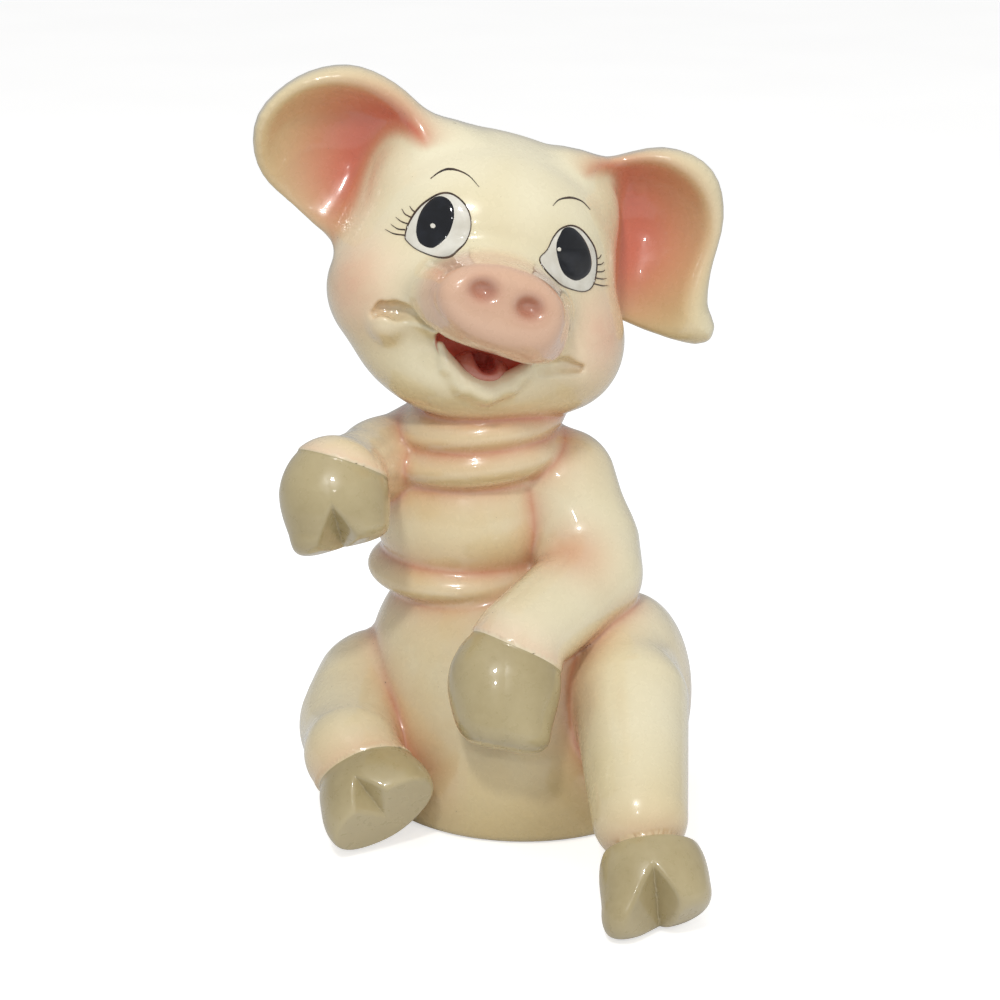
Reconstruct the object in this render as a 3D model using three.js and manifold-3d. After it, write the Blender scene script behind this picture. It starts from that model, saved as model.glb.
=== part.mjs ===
// A money bank in the form of a sitting pig, about 340 mm tall, in glazed slip-cast earthenware.
// The pieces are luted together before firing: a hollow ringed torso on a foot ring, a hollow tilted
// head with two ears and a tongue, two arms, two legs, four hooves and a tail. Coins go in at a slot in the
// upper back, and come out at the base when the rubber stopper is pulled.
// Millimetres, +Z up, standing on z = 0. The pig faces -Y, so its left side is +X.

import * as THREE from 'three';
import { mergeVertices } from 'three/addons/utils/BufferGeometryUtils.js';
import Module from 'manifold-3d';

const wasm = await Module();
wasm.setup();

const at = (x, y, z) => new THREE.Vector3(x, y, z);
const Y_AXIS = at(0, 1, 0);

// ---------------------------------------------------------------- driving dimensions

const CAST_WALL = 5;            // thickness of the cast clay in torso and head
const GAP = 0.3;                // clearance kept between two pieces that touch
const FOOT_RING_WIDTH = 9;      // the ring the bank stands on
const FOOT_RING_HEIGHT = 4;     // how far the underside is raised inside the ring
const NECK_TOP = 224;           // the open end of the torso, inside the head
const NECK_ROOM = 6;            // free height above the neck in the head's hole
const SLOT = { length: 42, height: 5, z: 128, corner: 2.4 };
const OUTLET_RADIUS = 18;       // coin outlet in the base
const OUTLET_CENTRE = at(0, -2, 0);
const STOPPER = { flangeRadius: 22, flange: 2.4, plugLength: 11, taper: 1.2, hollowRadius: 12 };
const ORIGIN = at(5.9, -35.5, 0);  // middle of the outline seen from above, moved to the row's origin

// The head turns to the pig's left, leans to its right and tips back a little.
const HEAD = { at: at(-18, -4, 249.5), yaw: 31, pitch: 4, roll: 16 };

const CREAM = { color: '#e6dcc0', roughness: 0.12, metalness: 0 };
const BLUSH = { color: '#e3c3ad', roughness: 0.12, metalness: 0 };
const TAUPE = { color: '#a79a7c', roughness: 0.14, metalness: 0 };
const RED = { color: '#c23a32', roughness: 0.15, metalness: 0 };
const RUBBER = { color: '#2b2a28', roughness: 0.7, metalness: 0 };

// ---------------------------------------------------------------- rounded forms
// A form is a function of a point that is negative inside the shape, zero on its surface and grows
// like a distance outside it, so forms can be joined with soft fillets before they become solids.

// The tilt of an ellipsoid is an angle about its own Y axis.
const ellipsoid = (centre, radii, tilt = 0) => (p) => {
  const q = p.clone().sub(centre).applyAxisAngle(Y_AXIS, tilt).divide(radii);
  const reach = q.length();
  const slope = q.divide(radii).length();
  return slope > 0 ? (reach * (reach - 1)) / slope : -Math.min(radii.x, radii.y, radii.z);
};

// A capsule from a to b whose radius runs evenly from the first to the second.
const taper = (a, b, radiusA, radiusB) => {
  const axis = b.clone().sub(a);
  return (p) => {
    const q = p.clone().sub(a);
    const share = THREE.MathUtils.clamp(q.dot(axis) / axis.lengthSq(), 0, 1);
    return q.addScaledVector(axis, -share).length() - THREE.MathUtils.lerp(radiusA, radiusB, share);
  };
};

const softMin = (a, b, fillet) => {
  const near = Math.max(fillet - Math.abs(a - b), 0);
  return Math.min(a, b) - (near * near) / (4 * fillet);
};
const softMax = (a, b, fillet) => -softMin(-a, -b, fillet);

const blend = (mix, fillet, forms) => (p) => forms
  .map((form) => form(p))
  .reduce((a, b) => mix(a, b, fillet));
const join = (fillet, ...forms) => blend(softMin, fillet, forms);
const common = (fillet, ...forms) => blend(softMax, fillet, forms);
const bothSides = (form) => (p) => form(at(Math.abs(p.x), p.y, p.z));
const aboveFloor = (form) => common(5, form, (p) => -p.z);

// A limb through a row of [centre, radius] stations.
const limb = (fillet, ...stations) => join(
  fillet,
  ...stations.slice(1).map(([b, radiusB], i) => taper(stations[i][0], b, stations[i][1], radiusB)),
);

// Signed distance in the XZ plane to a closed outline of Vector2 points.
const outlineDistance = (outline) => (p) => {
  let nearest = Infinity;
  let inside = false;
  outline.forEach((a, i) => {
    const b = outline[(i + 1) % outline.length];
    const edge = b.clone().sub(a);
    const q = new THREE.Vector2(p.x, p.z).sub(a);
    const share = THREE.MathUtils.clamp(q.dot(edge) / edge.lengthSq(), 0, 1);
    nearest = Math.min(nearest, q.clone().addScaledVector(edge, -share).length());
    const crosses = (a.y > p.z) !== (b.y > p.z);
    if (crosses && q.x < (edge.x * q.y) / edge.y) inside = !inside;
  });
  return inside ? -nearest : nearest;
};

// ---------------------------------------------------------------- forms into solids

const solid = (geometry) => {
  const shape = geometry.clone();
  shape.deleteAttribute('normal');
  shape.deleteAttribute('uv');
  const merged = mergeVertices(shape, 1e-4);
  return new wasm.Manifold(new wasm.Mesh({
    numProp: 3,
    vertProperties: new Float32Array(merged.attributes.position.array),
    triVerts: new Uint32Array(merged.index.array),
  }));
};

const mesh = (name, shape, finish) => {
  const { vertProperties, triVerts } = shape.getMesh();
  const geometry = new THREE.BufferGeometry();
  geometry.setAttribute('position', new THREE.BufferAttribute(vertProperties, 3));
  geometry.setIndex(new THREE.BufferAttribute(triVerts, 1));
  geometry.computeVertexNormals();
  const part = new THREE.Mesh(geometry, new THREE.MeshStandardMaterial(finish));
  part.name = name;
  return part;
};

// The first distance from start along direction at which the form reaches the offset.
const reach = (form, offset, start, direction) => {
  const there = (distance) => form(start.clone().addScaledVector(direction, distance)) > offset;
  const stride = 1.5;
  let far = stride;
  while (!there(far)) far += stride;
  let near = far - stride;
  for (let halving = 0; halving < 16; halving += 1) {
    const middle = (near + far) / 2;
    if (there(middle)) far = middle;
    else near = middle;
  }
  return (near + far) / 2;
};

// A ball of triangles blown up from its centre until it meets the form's surface.
const wrap = (form, centre, detail, offset = 0) => {
  const ball = new THREE.IcosahedronGeometry(1, detail);
  const points = ball.attributes.position;
  const direction = at(0, 0, 0);
  for (let i = 0; i < points.count; i += 1) {
    direction.fromBufferAttribute(points, i).normalize();
    direction.set(...direction.toArray().map((value) => Math.round(value * 1e5) / 1e5));
    const end = centre.clone().addScaledVector(direction, reach(form, offset, centre, direction));
    points.setXYZ(i, end.x, end.y, end.z);
  }
  return solid(ball);
};

// A stack of rings around a curved spine, each pushed out sideways until it meets the form.
const loft = (form, spine, heights, segments, offset = 0) => {
  const profile = heights.map((z) => new THREE.Vector2(1, z));
  profile.unshift(new THREE.Vector2(0, heights[0]));
  profile.push(new THREE.Vector2(0, heights.at(-1)));
  const stack = new THREE.LatheGeometry(profile, segments).rotateX(Math.PI / 2);
  const points = stack.attributes.position;
  const spoke = at(0, 0, 0);
  for (let i = 0; i < points.count; i += 1) {
    spoke.set(points.getX(i), points.getY(i), 0);
    const end = spine(points.getZ(i));
    if (spoke.length() > 0.5) {
      spoke.set(...spoke.toArray().map((value) => Math.round(value * 1e5) / 1e5));
      end.addScaledVector(spoke, reach(form, offset, end, spoke));
    }
    points.setXYZ(i, end.x, end.y, end.z);
  }
  return solid(stack);
};

const carve = (shape, ...cutters) => cutters.reduce((rest, other) => rest.subtract(other), shape);

const steps = (from, to, count) => Array.from(
  { length: count + 1 },
  (_, i) => THREE.MathUtils.lerp(from, to, i / count),
);

const upright = (geometry, x, y, z) => geometry.rotateX(Math.PI / 2).translate(x, y, z);

// ---------------------------------------------------------------- torso
// A pear-shaped belly, a roll of skin, the chest, another roll, a double chin and an open neck.

const LEAN = THREE.MathUtils.degToRad(7);  // the rolls of the chest rise to the pig's left
const torsoForm = [
  [14, ellipsoid(at(-20, 0, 64), at(52, 52, 50))],
  [4, ellipsoid(at(-29, -2, 106), at(45, 44, 15))],
  [4, ellipsoid(at(-27, -3, 133), at(43, 41, 40), LEAN)],
  [4, ellipsoid(at(-21, -6, 163), at(43, 41, 16), LEAN)],
  [4, ellipsoid(at(-18, -8, 178), at(39, 38, 15), LEAN)],
  [3, taper(at(-22, 0, 150), at(-17, 1, 226), 36, 28)],
].reduce((body, [fillet, roll]) => join(fillet, body, roll), ellipsoid(at(0, -3, 24), at(76, 74, 84)));

const TORSO_SEGMENTS = 30;
const torsoSpine = (z) => at(
  -25 * THREE.MathUtils.smoothstep(z, 15, 110) + 7 * THREE.MathUtils.smoothstep(z, 125, 200),
  -3 + 4 * THREE.MathUtils.smoothstep(z, 175, NECK_TOP),
  z,
);
// Ring heights close up at the creases between the rolls.
const torsoRings = [
  10, 26, 42, 58, 74, 86, 92, 96, 100, 106, 110, 114, 118, 126, 136, 145, 150, 154, 158, 163, 168, 172, 176,
  182, 188, 194, 206, NECK_TOP,
];

const torsoGrown = loft(torsoForm, torsoSpine, [-2, ...torsoRings], TORSO_SEGMENTS, GAP);

function makeTorso() {
  const outer = loft(aboveFloor(torsoForm), torsoSpine, [0, 1.5, 4, ...torsoRings], TORSO_SEGMENTS);
  const underside = loft(torsoForm, torsoSpine, [-2, FOOT_RING_HEIGHT], TORSO_SEGMENTS, -FOOT_RING_WIDTH);
  const floorTop = FOOT_RING_HEIGHT + CAST_WALL;
  const cavity = loft(torsoForm, torsoSpine, [floorTop, 30, ...steps(52, NECK_TOP + 4, 10)], 18, -CAST_WALL);
  const outlet = solid(upright(
    new THREE.CylinderGeometry(OUTLET_RADIUS, OUTLET_RADIUS, 4 * CAST_WALL, 32),
    OUTLET_CENTRE.x, OUTLET_CENTRE.y, FOOT_RING_HEIGHT + CAST_WALL / 2,
  ));
  return outer.subtract(underside).subtract(cavity).subtract(outlet).subtract(coinSlot());
}

// A slit with round ends, cut straight through the back wall.
function coinSlot() {
  const half = { x: SLOT.length / 2 - SLOT.corner, y: SLOT.height / 2 - SLOT.corner };
  const outline = new THREE.Shape();
  outline.absarc(half.x, half.y, SLOT.corner, 0, Math.PI / 2);
  outline.absarc(-half.x, half.y, SLOT.corner, Math.PI / 2, Math.PI);
  outline.absarc(-half.x, -half.y, SLOT.corner, Math.PI, 1.5 * Math.PI);
  outline.absarc(half.x, -half.y, SLOT.corner, 1.5 * Math.PI, 2 * Math.PI);
  const cutter = new THREE.ExtrudeGeometry(outline, { depth: 30, bevelEnabled: false, curveSegments: 4 });
  const back = torsoSpine(SLOT.z);
  return solid(cutter.rotateX(-Math.PI / 2).translate(back.x, back.y + 25, SLOT.z));
}

// ---------------------------------------------------------------- head
// Everything here is in the head's own frame: x to the pig's left, y to the back, z to the crown.

const headGroup = new THREE.Group();
headGroup.position.copy(HEAD.at);
headGroup.rotation.set(
  THREE.MathUtils.degToRad(-HEAD.pitch),
  THREE.MathUtils.degToRad(HEAD.roll),
  THREE.MathUtils.degToRad(HEAD.yaw),
  'ZXY',
);
headGroup.updateMatrix();

const SNOUT = { at: at(-4, -72, -9), radii: at(27.5, 60, 16.5), middle: -66, half: 15 };
const LIP_ROLL = [
  [at(-23, -54, -16), 7], [at(-12, -62, -16), 8], [at(3, -66, -16.5), 9], [at(14, -66, -19.5), 9],
  [at(21.5, -60, -22), 7.5],
];
const HEAD_CENTRE = at(0, -6, -4);
const SNOUT_CENTRE = at(-3, -64, -12);
const MOUTH = [
  { at: at(0.5, -47, -32), radii: at(21.5, 18, 12) },
  { at: at(3.5, -47, -39.5), radii: at(12, 13, 8) },
];
const TONGUE = { at: at(3, -36, -42), radii: at(13, 13, 7.5) };
const NOSTRILS = [at(-14.5, -85, -4), at(6.5, -85, -6.5)];
const NOSTRIL_RADII = at(6, 8, 4.6);

const skullForm = [
  [16, taper(at(-36, 8, 36), at(36, 8, 36), 17, 17)],
  [18, bothSides(ellipsoid(at(31, -6, -20), at(36, 38, 32)))],
  [14, ellipsoid(at(36, -8, -30), at(32, 34, 28))],
  [14, ellipsoid(at(0, -10, -47), at(43, 36, 23))],
  [12, ellipsoid(at(-2, -43, -12), at(35, 33, 20))],
].reduce((body, [fillet, lump]) => join(fillet, body, lump), ellipsoid(at(0, 6, 14), at(58, 55, 42)));

const snoutForm = join(
  8,
  common(9, ellipsoid(SNOUT.at, SNOUT.radii), (p) => Math.abs(p.y - SNOUT.middle) - SNOUT.half),
  limb(8, ...LIP_ROLL),
);

const ball = (centre, radii, detail = 3) => solid(
  new THREE.IcosahedronGeometry(1, detail).scale(radii.x, radii.y, radii.z).translate(...centre.toArray()),
);
const thicker = (radii, extra) => radii.clone().addScalar(extra);

const mouthRoom = (extra) => MOUTH
  .map((room) => ball(room.at, thicker(room.radii, extra)))
  .reduce((a, b) => a.add(b));

const wrapHead = (offset) => wrap(skullForm, HEAD_CENTRE, 6, offset)
  .add(wrap(snoutForm, SNOUT_CENTRE, 4, offset));

function makeSkull() {
  const cavity = wrap(skullForm, HEAD_CENTRE, 3, -CAST_WALL);
  const mouthLining = mouthRoom(CAST_WALL);
  const neckHole = solid(neckPassage().applyMatrix4(headGroup.matrix.clone().invert()));
  let shell = wrapHead(0).subtract(cavity.subtract(mouthLining)).subtract(mouthRoom(0));
  for (const nostril of NOSTRILS) shell = shell.subtract(ball(nostril, NOSTRIL_RADII));
  return shell.subtract(neckHole);
}

// The torso's neck and double chin, with clearance, as they pass up through the head's underside.
function neckPassage() {
  const { vertProperties, triVerts } = torsoGrown.getMesh();
  const geometry = new THREE.BufferGeometry();
  geometry.setAttribute('position', new THREE.BufferAttribute(vertProperties, 3));
  geometry.setIndex(new THREE.BufferAttribute(triVerts, 1));
  const points = geometry.attributes.position;
  for (let i = 0; i < points.count; i += 1) {
    if (points.getZ(i) > NECK_TOP - 1) points.setZ(i, NECK_TOP + NECK_ROOM);
  }
  return geometry;
}

function makeTongue() {
  return ball(TONGUE.at, TONGUE.radii).intersect(mouthRoom(-GAP));
}

// ---------------------------------------------------------------- ears
// A thick leaf with a rounded edge. At the front a deep bowl opens into a shallower one below it. One ear is
// raised, the other hangs.

const EARS = {
  left_ear: {
    side: 1,
    outline: [
      [24, 46], [46, 53], [70, 64], [88, 61], [97, 45], [98, 21], [101, 5], [107, -6], [90, -7], [62, -6],
      [36, -3],
    ],
    bowls: [
      { at: at(62, -20, 33), radii: at(36, 38, 32) },
      { at: at(66, -32, -2), radii: at(33, 44, 48) },
    ],
  },
  right_ear: {
    side: -1,
    outline: [
      [22, 42], [40, 51], [60, 61], [78, 63], [95, 54], [106, 37], [102, 20], [88, 8], [60, -2], [34, -2],
    ],
    bowls: [
      { at: at(75, -20, 30), radii: at(38.5, 38, 32) },
      { at: at(86, -32, 8), radii: at(36, 44, 34) },
    ],
  },
};
const EAR = { middle: 6, half: 17, roundness: 15, trim: 6, centre: at(68, 6, 26) };

function makeEar({ side, outline, bowls }, headGrown) {
  const mirror = at(side, 1, 1);
  const corners = outline.map(([x, z]) => at(x, z, 0));
  const edge = new THREE.CatmullRomCurve3(corners, true).getPoints(44).slice(1);
  const distance = outlineDistance(edge.map((p) => new THREE.Vector2(p.x, p.y)));
  const leaf = common(
    EAR.roundness,
    (p) => distance(p) - EAR.trim,
    (p) => Math.abs(p.y - EAR.middle) - EAR.half,
  );
  const pillow = wrap((p) => leaf(p.clone().multiply(mirror)), EAR.centre.clone().multiply(mirror), 4);
  const hollows = bowls.map((bowl) => ball(bowl.at.clone().multiply(mirror), bowl.radii));
  return carve(pillow, ...hollows, headGrown);
}

// ---------------------------------------------------------------- arms and legs

const LIMBS = {
  left_arm: {
    form: join(
      8,
      limb(8, [at(17, 5, 148), 25], [at(31, -2, 121), 23], [at(37, -12, 112), 21]),
      taper(at(38, -14, 111), at(22, -66, 97), 21.5, 20),
    ),
    centre: at(36, -12, 112),
  },
  right_arm: {
    form: limb(8, [at(-46, 8, 164), 19], [at(-59, -30, 161), 17], [at(-60, -60, 164), 16.5]),
    centre: at(-58, -29, 161),
  },
  left_leg: {
    form: join(
      12,
      ellipsoid(at(51, -6, 49), at(31, 46, 51)),
      taper(at(65, -40, 64), at(87, -98, 38), 26, 20.5),
    ),
    centre: at(62, -30, 58),
  },
  right_leg: {
    form: join(
      14,
      limb(10, [at(-54, 12, 32), 34], [at(-64, -24, 42), 29], [at(-64, -46, 36), 25]),
      taper(at(-64, -46, 36), at(-53, -80, 38), 25, 22),
    ),
    centre: at(-63, -34, 38),
  },
};

function makeLimb({ form, centre }) {
  return {
    outer: wrap(aboveFloor(form), centre, 5),
    grown: wrap(form, centre, 5, GAP),
  };
}

// ---------------------------------------------------------------- hooves
// A limb ends in a rounded paw of two toes with a flat sole. The cuff above the rim belongs to the limb,
// and the hoof below it has a V-shaped cleft between the toes. In a paw's own frame z runs down to the
// toes, x across them and y to the front. The cleft starts at the front of the hoof, on the level given; one
// level lies beyond the sole, which leaves that hoof whole.

const HOOVES = {
  left_fore_hoof: {
    at: at(20, -81, 83), toes: at(0.18, -0.5, -0.85), across: at(0.93, 0.36, 0), width: 24, depth: 19,
    sole: 29.5, soleSlope: -0.2, soleRound: 9, splay: 5.5, toe: 14.5, cleft: 60, rim: -17, rimSlope: 0.5,
    cuff: 0.8,
  },
  right_fore_hoof: {
    at: at(-59, -80, 159), toes: at(0.3, -0.36, -0.88), across: at(0.88, 0.38, 0.2), width: 23.5, depth: 20,
    sole: 23, soleSlope: 0.11, soleRound: 5, splay: 10, toe: 11, cleft: 7, rim: -16, rimSlope: 0.5, cuff: 0.8,
  },
  left_hind_hoof: {
    at: at(99, -117, 22), toes: at(0.34, -0.7, -0.62), across: at(0.8, 0.55, 0.3), width: 22, depth: 18,
    sole: 23, soleSlope: 0.3, soleRound: 7, splay: 11.5, toe: 12, cleft: 3.5, rim: -11, rimSlope: 0, cuff: 0,
  },
  right_hind_hoof: {
    at: at(-36.5, -95.7, 26.7), toes: at(0.69, -0.59, -0.42), across: at(0.71, 0.445, 0.54), width: 24,
    depth: 20, sole: 13, soleSlope: 0, soleRound: 1.5, splay: 13, toe: 12, cleft: 1, rim: -14, rimSlope: 0.3,
    cuff: 0.8,
  },
};
const CLEFT = { angle: THREE.MathUtils.degToRad(40), slant: THREE.MathUtils.degToRad(22) };
const CUTTER = 120;             // size of the blocks that trim a paw at its rim

const hoofFrame = ({ at: place, toes, across }) => {
  const down = toes.clone().normalize();
  const sideways = across.clone().addScaledVector(down, -across.dot(down)).normalize();
  const front = down.clone().cross(sideways);
  return new THREE.Matrix4().makeBasis(sideways, front, down).setPosition(place);
};

const pawForm = ({ width, depth, sole, soleSlope, soleRound, splay, toe }) => {
  const cap = ellipsoid(at(0, 0, 0), at(width, depth, width + 2));
  const toes = bothSides(taper(at(0.2 * width, 0, 2), at(splay, 1, sole - 0.4 * toe), 0.66 * width, toe));
  const tread = (p) => (p.z + soleSlope * p.x - sole) / Math.hypot(1, soleSlope);
  return common(soleRound, join(8, cap, toes), tread);
};

const wrapPaw = (hoof, offset) => {
  const inverse = hoofFrame(hoof).invert();
  const form = pawForm(hoof);
  return wrap(aboveFloor((p) => form(p.clone().applyMatrix4(inverse)) - offset), hoof.at, 4);
};

// The space on the toes' side of the rim, which slopes across the paw.
const beyondRim = (hoof, gap) => solid(
  new THREE.BoxGeometry(CUTTER, CUTTER, CUTTER)
    .translate(0, 0, CUTTER / 2 + gap)
    .rotateY(-Math.atan(hoof.rimSlope))
    .translate(0, 0, hoof.rim)
    .applyMatrix4(hoofFrame(hoof)),
);

const makeCuff = (hoof) => wrapPaw(hoof, hoof.cuff).subtract(beyondRim(hoof, 0));

const makeHoof = (hoof) => wrapPaw(hoof, 0).intersect(beyondRim(hoof, GAP)).subtract(cleftWedge(hoof));

// A prism whose section is a V that opens towards the toes, with its edge running down and back from the
// front.
function cleftWedge(hoof) {
  const rise = { y: Math.sin(CLEFT.slant), z: Math.sin(CLEFT.angle) };
  const half = (CUTTER * Math.hypot(rise.y, rise.z)) / Math.cos(CLEFT.angle);
  const section = new THREE.Shape([
    new THREE.Vector2(0, 0),
    new THREE.Vector2(half, CUTTER),
    new THREE.Vector2(-half, CUTTER),
  ]);
  const prism = new THREE.ExtrudeGeometry(section, { depth: CUTTER, bevelEnabled: false })
    .translate(0, 0, -CUTTER / 2)
    .rotateX(Math.atan2(rise.z, rise.y))
    .translate(0, hoof.depth, hoof.cleft);
  return solid(prism.applyMatrix4(hoofFrame(hoof)));
}

// ---------------------------------------------------------------- tail and stopper

// A pig's tail laid on the back as a raised curl that winds out from its middle.
const TAIL = { at: at(4, 66, 50), tube: 4.5, inner: 3, outer: 14, turns: 1.4 };

function makeTail() {
  const points = steps(0, 1, 16).map((share) => {
    const angle = share * TAIL.turns * 2 * Math.PI;
    const radius = THREE.MathUtils.lerp(TAIL.inner, TAIL.outer, share);
    return TAIL.at.clone().add(at(radius * Math.cos(angle), 3 - 6 * share, radius * Math.sin(angle)));
  });
  const section = new THREE.Shape().absarc(0, 0, TAIL.tube, 0, 2 * Math.PI);
  const tube = new THREE.ExtrudeGeometry(section, {
    extrudePath: new THREE.CatmullRomCurve3(points),
    steps: 16,
    curveSegments: 8,
    bevelEnabled: false,
  });
  return solid(tube).subtract(torsoGrown);
}

// A rubber plug: a flange under the base, a slightly tapered stem in the outlet, hollow from above.
function makeStopper() {
  const top = STOPPER.flange + STOPPER.plugLength;
  const stem = OUTLET_RADIUS - GAP;
  const profile = [
    [0, 0],
    [STOPPER.flangeRadius - 0.6, 0],
    [STOPPER.flangeRadius, 0.6],
    [STOPPER.flangeRadius, STOPPER.flange],
    [stem, STOPPER.flange],
    [stem - STOPPER.taper, top],
    [STOPPER.hollowRadius, top],
    [STOPPER.hollowRadius, STOPPER.flange + 1.5],
    [0, STOPPER.flange + 1.5],
  ];
  const lathe = new THREE.LatheGeometry(profile.map(([r, z]) => new THREE.Vector2(r, z)), 28);
  const stopper = mesh('stopper', solid(lathe.rotateX(Math.PI / 2)), RUBBER);
  stopper.position.set(OUTLET_CENTRE.x, OUTLET_CENTRE.y, FOOT_RING_HEIGHT - GAP - STOPPER.flange);
  return stopper;
}

// ---------------------------------------------------------------- assembly

const pig = new THREE.Group();
pig.name = 'piggy_bank';
const body = new THREE.Group();
body.position.copy(ORIGIN).negate();
pig.add(body);

body.add(mesh('torso_shell', makeTorso(), BLUSH));

const headGrown = wrapHead(GAP);
body.add(headGroup);
headGroup.add(mesh('head_shell', makeSkull(), CREAM));
headGroup.add(mesh('tongue', makeTongue(), RED));
for (const [name, ear] of Object.entries(EARS)) {
  headGroup.add(mesh(name, makeEar(ear, headGrown), CREAM));
}

const limbs = Object.fromEntries(Object.entries(LIMBS).map(([name, form]) => [name, makeLimb(form)]));
const headInBody = headGrown.transform(headGroup.matrix.elements);
const neighboursOf = {
  left_leg: [torsoGrown],
  right_leg: [torsoGrown],
  left_arm: [torsoGrown, headInBody, limbs.left_leg.grown],
  right_arm: [torsoGrown, headInBody],
};
for (const [hoofName, hoof] of Object.entries(HOOVES)) {
  const name = hoofName.replace('fore_hoof', 'arm').replace('hind_hoof', 'leg');
  const { outer, grown } = limbs[name];
  const whole = hoof.cuff > 0 ? outer.subtract(beyondRim(hoof, 0)).add(makeCuff(hoof)) : outer;
  body.add(mesh(name, carve(whole, ...neighboursOf[name]), CREAM));
  const inner = hoof.cuff > 0 ? [] : [grown];
  body.add(mesh(hoofName, carve(makeHoof(hoof), ...inner, ...neighboursOf[name]), TAUPE));
}

body.add(mesh('tail', makeTail(), BLUSH));
body.add(makeStopper());

export default pig;
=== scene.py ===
# Look of the glazed ceramic piggy bank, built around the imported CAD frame.
# The clay is sculpted as one signed-distance form, in millimetres, and cut into the same castings as
# the CAD part. Painted eyes, brows and lashes are thin raised enamel laid on its surface.

import math

import bpy
import numpy as np
from mathutils import Matrix, Vector


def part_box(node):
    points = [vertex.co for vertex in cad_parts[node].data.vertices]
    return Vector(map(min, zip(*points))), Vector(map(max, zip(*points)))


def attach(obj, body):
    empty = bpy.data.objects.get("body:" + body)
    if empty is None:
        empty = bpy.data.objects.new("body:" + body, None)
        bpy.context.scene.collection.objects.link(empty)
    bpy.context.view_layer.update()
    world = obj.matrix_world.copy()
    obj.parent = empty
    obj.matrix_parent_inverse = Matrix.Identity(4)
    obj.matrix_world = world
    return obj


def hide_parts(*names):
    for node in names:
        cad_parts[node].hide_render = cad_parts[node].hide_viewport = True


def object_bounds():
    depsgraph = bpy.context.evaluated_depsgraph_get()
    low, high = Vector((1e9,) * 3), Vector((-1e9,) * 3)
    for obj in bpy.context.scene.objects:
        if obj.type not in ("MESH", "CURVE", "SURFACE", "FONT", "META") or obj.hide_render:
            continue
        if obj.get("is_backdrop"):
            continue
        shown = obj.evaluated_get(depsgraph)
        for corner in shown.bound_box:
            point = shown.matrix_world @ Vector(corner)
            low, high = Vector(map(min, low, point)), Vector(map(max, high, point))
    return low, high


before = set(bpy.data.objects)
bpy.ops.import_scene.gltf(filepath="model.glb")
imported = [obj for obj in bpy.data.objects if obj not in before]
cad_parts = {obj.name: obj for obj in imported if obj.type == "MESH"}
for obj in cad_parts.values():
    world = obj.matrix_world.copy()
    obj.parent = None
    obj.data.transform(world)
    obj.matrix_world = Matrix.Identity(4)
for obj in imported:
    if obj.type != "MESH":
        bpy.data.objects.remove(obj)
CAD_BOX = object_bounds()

# ---------------------------------------------------------------- driving sizes, in millimetres

MM = 0.001
ORIGIN = np.array([5.9, -35.5, 0.0])        # the row's origin, in the sculpt's millimetres

# The head turns to the pig's left, leans to its right and tips back a little.
HEAD_AT = np.array([-18.0, -4.0, 249.5])
HEAD_YAW, HEAD_PITCH, HEAD_ROLL = 31, 4, 16

TORSO_LEAN = 7                              # the rolls of the chest rise to the pig's left, in degrees

CAST_WALL = 5.0
FOOT_RING_HEIGHT = 4.0
FOOT_RING_WIDTH = 9.0
OUTLET_RADIUS = 18.0
OUTLET_CENTRE = (0.0, -2.0)
OUTLET_TOP = 30.0
OPENING_ROUND = 1.5                         # fillet on the edges of every opening
SLOT_X, SLOT_Z, SLOT_LENGTH, SLOT_HEIGHT = -27.0, 128.0, 42.0, 5.0


def vec(*values):
    return np.array(values, float)


def rotation(axis, degrees):
    c, s = math.cos(math.radians(degrees)), math.sin(math.radians(degrees))
    rows = {
        "x": [[1, 0, 0], [0, c, -s], [0, s, c]],
        "y": [[c, 0, s], [0, 1, 0], [-s, 0, c]],
        "z": [[c, -s, 0], [s, c, 0], [0, 0, 1]],
    }[axis]
    return np.array(rows, float)


HEAD_TURN = rotation("z", HEAD_YAW) @ rotation("x", -HEAD_PITCH) @ rotation("y", HEAD_ROLL)


def to_head(p):
    return (p - HEAD_AT) @ HEAD_TURN


def from_head(q):
    return q @ HEAD_TURN.T + HEAD_AT


# ---------------------------------------------------------------- signed distances

def ellipsoid(p, centre, radii, turn=None):
    q = p - np.array(centre, float)
    if turn is not None:
        q = q @ turn
    q /= np.array(radii, float)
    reach = np.sqrt(np.einsum("ij,ij->i", q, q))
    q /= np.array(radii, float)
    slope = np.sqrt(np.einsum("ij,ij->i", q, q))
    return reach * (reach - 1) / np.maximum(slope, 1e-9)


def taper(p, a, b, radius_a, radius_b):
    a, b = np.array(a, float), np.array(b, float)
    axis = b - a
    share = np.clip((p - a) @ axis / (axis @ axis), 0, 1)
    q = p - a - share[:, None] * axis
    return np.sqrt(np.einsum("ij,ij->i", q, q)) - (radius_a + (radius_b - radius_a) * share)


def soft_min(a, b, fillet):
    near = np.maximum(fillet - np.abs(a - b), 0)
    return np.minimum(a, b) - near * near / (4 * fillet)


def soft_max(a, b, fillet):
    return -soft_min(-a, -b, fillet)


def limb(p, stations, fillet):
    """Tapered capsules through rows of (x, y, z, radius)."""
    whole = None
    for a, b in zip(stations, stations[1:]):
        piece = taper(p, a[:3], b[:3], a[3], b[3])
        whole = piece if whole is None else soft_min(whole, piece, fillet)
    return whole


def mirrored(q):
    m = q.copy()
    m[:, 0] = np.abs(m[:, 0])
    return m


def smooth_loop(corners, per_side=5):
    """Points of a closed Catmull-Rom curve through the corners."""
    c = np.array(corners, float)
    before, after, beyond = np.roll(c, 1, 0), np.roll(c, -1, 0), np.roll(c, -2, 0)
    t = (np.arange(per_side) / per_side)[:, None, None]
    points = 0.5 * (
        2 * c + (after - before) * t + (2 * before - 5 * c + 4 * after - beyond) * t ** 2
        + (3 * c - before - 3 * after + beyond) * t ** 3
    )
    return points.transpose(1, 0, 2).reshape(-1, 2)


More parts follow.
